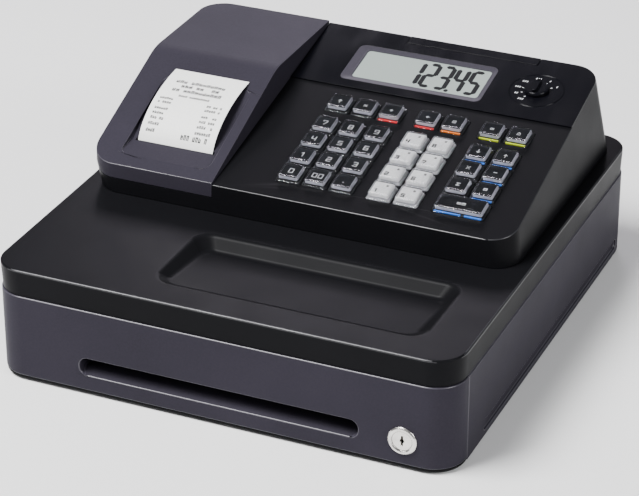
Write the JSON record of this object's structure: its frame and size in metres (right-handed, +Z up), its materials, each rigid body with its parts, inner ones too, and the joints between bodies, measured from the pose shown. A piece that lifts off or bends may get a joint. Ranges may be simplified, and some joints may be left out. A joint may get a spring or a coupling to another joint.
{
  "type": "cash register",
  "caption": "Compact electronic cash register: tilted keyboard, display, mode dial and receipt printer on a deck over a lockable sliding cash drawer.",
  "frame": {"origin": "middle of the footprint, on the surface the feet stand on", "axes": "+X to the operator's right, the drawer front faces -Y, +Z up"},
  "size_m": [0.33, 0.3535, 0.1464],
  "materials": {
    "black_plastic": "fine-grained moulded plastic",
    "grey_plastic": "fine-grained grey-violet moulded plastic",
    "gloss_black": "polished black plastic",
    "base_black": "black painted steel pan",
    "lcd_cell": "grey-green liquid crystal cell",
    "clear_key": "clear cap over a dark legend",
    "clear_white_key": "clear cap over a white legend",
    "rubber_black": "black rubber",
    "silicone_grey": "grey silicone rubber",
    "board_green": "green circuit board",
    "printer_black": "glass-filled black plastic",
    "paper_white": "smooth white thermal paper",
    "drawer_plastic": "black moulded drawer",
    "till_plastic": "black moulded till",
    "spring_steel": "bright spring steel",
    "zinc_steel": "zinc-plated steel",
    "nickel": "nickel plate"
  },
  "bodies": {
    "cabinet": {"base_pan": "base_black", "feet": "rubber_black", "screws": "zinc_steel", "cabinet_shell": "grey_plastic", "top_deck": "black_plastic", "console_case": "black_plastic", "display_panel": "gloss_black", "lcd_module": "lcd_cell", "main_board": "board_green", "key_mat": "silicone_grey", "printer_frame": "printer_black", "cable_gland": "rubber_black", "latch_solenoid": "zinc_steel"},
    "drawer": {"drawer_tray": "drawer_plastic", "drawer_front": "grey_plastic", "till_insert": "till_plastic", "lock_barrel": "nickel"},
    "note_clips": {"bill_clips": "spring_steel"},
    "lock": {"lock_plug": "nickel"},
    "latch": {"latch_lever": "zinc_steel"},
    "cover": {"printer_cover": "grey_plastic", "receipt": "paper_white"},
    "platen": {"platen_roller": "rubber_black"},
    "roll": {"paper_roll": "paper_white"},
    "customer_display": {"rear_display": "gloss_black"},
    "dial": {"mode_dial": "gloss_black"},
    "key_feed": {"key_feed": "clear_key"},
    "key_multiply": {"key_multiply": "clear_key"},
    "key_clear": {"key_clear": "clear_key"},
    "key_error_correct": {"key_error_correct": "clear_key"},
    "key_price_lookup": {"key_price_lookup": "clear_key"},
    "key_clock": {"key_clock": "clear_key"},
    "key_tax_shift": {"key_tax_shift": "clear_key"},
    "key_7": {"key_7": "clear_key"},
    "key_8": {"key_8": "clear_key"},
    "key_9": {"key_9": "clear_key"},
    "key_dept_4": {"key_dept_4": "clear_white_key"},
    "key_dept_8": {"key_dept_8": "clear_white_key"},
    "key_received": {"key_received": "clear_key"},
    "key_paid_out": {"key_paid_out": "clear_key"},
    "key_4": {"key_4": "clear_key"},
    "key_5": {"key_5": "clear_key"},
    "key_6": {"key_6": "clear_key"},
    "key_dept_3": {"key_dept_3": "clear_white_key"},
    "key_dept_7": {"key_dept_7": "clear_white_key"},
    "key_percent": {"key_percent": "clear_key"},
    "key_minus": {"key_minus": "clear_key"},
    "key_1": {"key_1": "clear_key"},
    "key_2": {"key_2": "clear_key"},
    "key_3": {"key_3": "clear_key"},
    "key_dept_2": {"key_dept_2": "clear_white_key"},
    "key_dept_6": {"key_dept_6": "clear_white_key"},
    "key_subtotal": {"key_subtotal": "clear_key"},
    "key_charge": {"key_charge": "clear_key"},
    "key_0": {"key_0": "clear_key"},
    "key_00": {"key_00": "clear_key"},
    "key_point": {"key_point": "clear_key"},
    "key_dept_1": {"key_dept_1": "clear_white_key"},
    "key_dept_5": {"key_dept_5": "clear_white_key"},
    "key_cash": {"key_cash": "clear_key"}
  },
  "joints": [
    {"name": "drawer_slide", "type": "slide", "parent": "cabinet", "child": "drawer", "axis": [0, -1, 0], "range_m": [0, 0.235]},
    {"name": "cover_hinge", "type": "hinge", "parent": "cabinet", "child": "cover", "pos_m": [-0.11, 0.1505, 0.1375], "axis": [-1, 0, 0], "range_deg": [0, 75]},
    {"name": "customer_display_lift", "type": "slide", "parent": "cabinet", "child": "customer_display", "axis": [0, -0.1925, 0.9813], "range_m": [0, 0.038]},
    {"name": "lock_turn", "type": "hinge", "parent": "drawer", "child": "lock", "pos_m": [0.13, -0.16, 0.0215], "axis": [0, -1, 0], "range_deg": [0, 90]},
    {"name": "mode_turn", "type": "hinge", "parent": "cabinet", "child": "dial", "pos_m": [0.112, 0.11599, 0.13616], "axis": [0, -0.1925, 0.9813], "range_deg": [-100, 110]},
    {"name": "note_clip_lift", "type": "hinge", "parent": "drawer", "child": "note_clips", "pos_m": [0, 0.118, 0.05], "axis": [-1, 0, 0], "range_deg": [0, 30], "stiffness_Nm_per_rad": 0.3},
    {"name": "latch_drop", "type": "hinge", "parent": "cabinet", "child": "latch", "pos_m": [0, 0.155, 0.03], "axis": [1, 0, 0], "range_deg": [0, 10]},
    {"name": "roll_spin", "type": "hinge", "parent": "cabinet", "child": "roll", "pos_m": [-0.1048, 0.075, 0.1138], "axis": [1, 0, 0], "continuous": true},
    {"name": "platen_spin", "type": "hinge", "parent": "cabinet", "child": "platen", "pos_m": [-0.1048, -0.013, 0.103], "axis": [1, 0, 0], "continuous": true},
    {"name": "key_feed_press", "type": "slide", "parent": "cabinet", "child": "key_feed", "axis": [0, 0.1925, -0.9813], "range_m": [0, 0.003], "stiffness_N_per_m": 200},
    {"name": "key_multiply_press", "type": "slide", "parent": "cabinet", "child": "key_multiply", "axis": [0, 0.1925, -0.9813], "range_m": [0, 0.003], "stiffness_N_per_m": 200},
    {"name": "key_clear_press", "type": "slide", "parent": "cabinet", "child": "key_clear", "axis": [0, 0.1925, -0.9813], "range_m": [0, 0.003], "stiffness_N_per_m": 200},
    {"name": "key_error_correct_press", "type": "slide", "parent": "cabinet", "child": "key_error_correct", "axis": [0, 0.1925, -0.9813], "range_m": [0, 0.003], "stiffness_N_per_m": 200},
    {"name": "key_price_lookup_press", "type": "slide", "parent": "cabinet", "child": "key_price_lookup", "axis": [0, 0.1925, -0.9813], "range_m": [0, 0.003], "stiffness_N_per_m": 200},
    {"name": "key_clock_press", "type": "slide", "parent": "cabinet", "child": "key_clock", "axis": [0, 0.1925, -0.9813], "range_m": [0, 0.003], "stiffness_N_per_m": 200},
    {"name": "key_tax_shift_press", "type": "slide", "parent": "cabinet", "child": "key_tax_shift", "axis": [0, 0.1925, -0.9813], "range_m": [0, 0.003], "stiffness_N_per_m": 200},
    {"name": "key_7_press", "type": "slide", "parent": "cabinet", "child": "key_7", "axis": [0, 0.1925, -0.9813], "range_m": [0, 0.003], "stiffness_N_per_m": 200},
    {"name": "key_8_press", "type": "slide", "parent": "cabinet", "child": "key_8", "axis": [0, 0.1925, -0.9813], "range_m": [0, 0.003], "stiffness_N_per_m": 200},
    {"name": "key_9_press", "type": "slide", "parent": "cabinet", "child": "key_9", "axis": [0, 0.1925, -0.9813], "range_m": [0, 0.003], "stiffness_N_per_m": 200},
    {"name": "key_dept_4_press", "type": "slide", "parent": "cabinet", "child": "key_dept_4", "axis": [0, 0.1925, -0.9813], "range_m": [0, 0.003], "stiffness_N_per_m": 200},
    {"name": "key_dept_8_press", "type": "slide", "parent": "cabinet", "child": "key_dept_8", "axis": [0, 0.1925, -0.9813], "range_m": [0, 0.003], "stiffness_N_per_m": 200},
    {"name": "key_received_press", "type": "slide", "parent": "cabinet", "child": "key_received", "axis": [0, 0.1925, -0.9813], "range_m": [0, 0.003], "stiffness_N_per_m": 200},
    {"name": "key_paid_out_press", "type": "slide", "parent": "cabinet", "child": "key_paid_out", "axis": [0, 0.1925, -0.9813], "range_m": [0, 0.003], "stiffness_N_per_m": 200},
    {"name": "key_4_press", "type": "slide", "parent": "cabinet", "child": "key_4", "axis": [0, 0.1925, -0.9813], "range_m": [0, 0.003], "stiffness_N_per_m": 200},
    {"name": "key_5_press", "type": "slide", "parent": "cabinet", "child": "key_5", "axis": [0, 0.1925, -0.9813], "range_m": [0, 0.003], "stiffness_N_per_m": 200},
    {"name": "key_6_press", "type": "slide", "parent": "cabinet", "child": "key_6", "axis": [0, 0.1925, -0.9813], "range_m": [0, 0.003], "stiffness_N_per_m": 200},
    {"name": "key_dept_3_press", "type": "slide", "parent": "cabinet", "child": "key_dept_3", "axis": [0, 0.1925, -0.9813], "range_m": [0, 0.003], "stiffness_N_per_m": 200},
    {"name": "key_dept_7_press", "type": "slide", "parent": "cabinet", "child": "key_dept_7", "axis": [0, 0.1925, -0.9813], "range_m": [0, 0.003], "stiffness_N_per_m": 200},
    {"name": "key_percent_press", "type": "slide", "parent": "cabinet", "child": "key_percent", "axis": [0, 0.1925, -0.9813], "range_m": [0, 0.003], "stiffness_N_per_m": 200},
    {"name": "key_minus_press", "type": "slide", "parent": "cabinet", "child": "key_minus", "axis": [0, 0.1925, -0.9813], "range_m": [0, 0.003], "stiffness_N_per_m": 200},
    {"name": "key_1_press", "type": "slide", "parent": "cabinet", "child": "key_1", "axis": [0, 0.1925, -0.9813], "range_m": [0, 0.003], "stiffness_N_per_m": 200},
    {"name": "key_2_press", "type": "slide", "parent": "cabinet", "child": "key_2", "axis": [0, 0.1925, -0.9813], "range_m": [0, 0.003], "stiffness_N_per_m": 200},
    {"name": "key_3_press", "type": "slide", "parent": "cabinet", "child": "key_3", "axis": [0, 0.1925, -0.9813], "range_m": [0, 0.003], "stiffness_N_per_m": 200},
    {"name": "key_dept_2_press", "type": "slide", "parent": "cabinet", "child": "key_dept_2", "axis": [0, 0.1925, -0.9813], "range_m": [0, 0.003], "stiffness_N_per_m": 200},
    {"name": "key_dept_6_press", "type": "slide", "parent": "cabinet", "child": "key_dept_6", "axis": [0, 0.1925, -0.9813], "range_m": [0, 0.003], "stiffness_N_per_m": 200},
    {"name": "key_subtotal_press", "type": "slide", "parent": "cabinet", "child": "key_subtotal", "axis": [0, 0.1925, -0.9813], "range_m": [0, 0.003], "stiffness_N_per_m": 200},
    {"name": "key_charge_press", "type": "slide", "parent": "cabinet", "child": "key_charge", "axis": [0, 0.1925, -0.9813], "range_m": [0, 0.003], "stiffness_N_per_m": 200},
    {"name": "key_0_press", "type": "slide", "parent": "cabinet", "child": "key_0", "axis": [0, 0.1925, -0.9813], "range_m": [0, 0.003], "stiffness_N_per_m": 200},
    {"name": "key_00_press", "type": "slide", "parent": "cabinet", "child": "key_00", "axis": [0, 0.1925, -0.9813], "range_m": [0, 0.003], "stiffness_N_per_m": 200},
    {"name": "key_point_press", "type": "slide", "parent": "cabinet", "child": "key_point", "axis": [0, 0.1925, -0.9813], "range_m": [0, 0.003], "stiffness_N_per_m": 200},
    {"name": "key_dept_1_press", "type": "slide", "parent": "cabinet", "child": "key_dept_1", "axis": [0, 0.1925, -0.9813], "range_m": [0, 0.003], "stiffness_N_per_m": 200},
    {"name": "key_dept_5_press", "type": "slide", "parent": "cabinet", "child": "key_dept_5", "axis": [0, 0.1925, -0.9813], "range_m": [0, 0.003], "stiffness_N_per_m": 200},
    {"name": "key_cash_press", "type": "slide", "parent": "cabinet", "child": "key_cash", "axis": [0, 0.1925, -0.9813], "range_m": [0, 0.003], "stiffness_N_per_m": 200}
  ],
  "couplings": [
    {"joint": "platen_spin", "follows": "roll_spin", "ratio": 5.2}
  ]
}
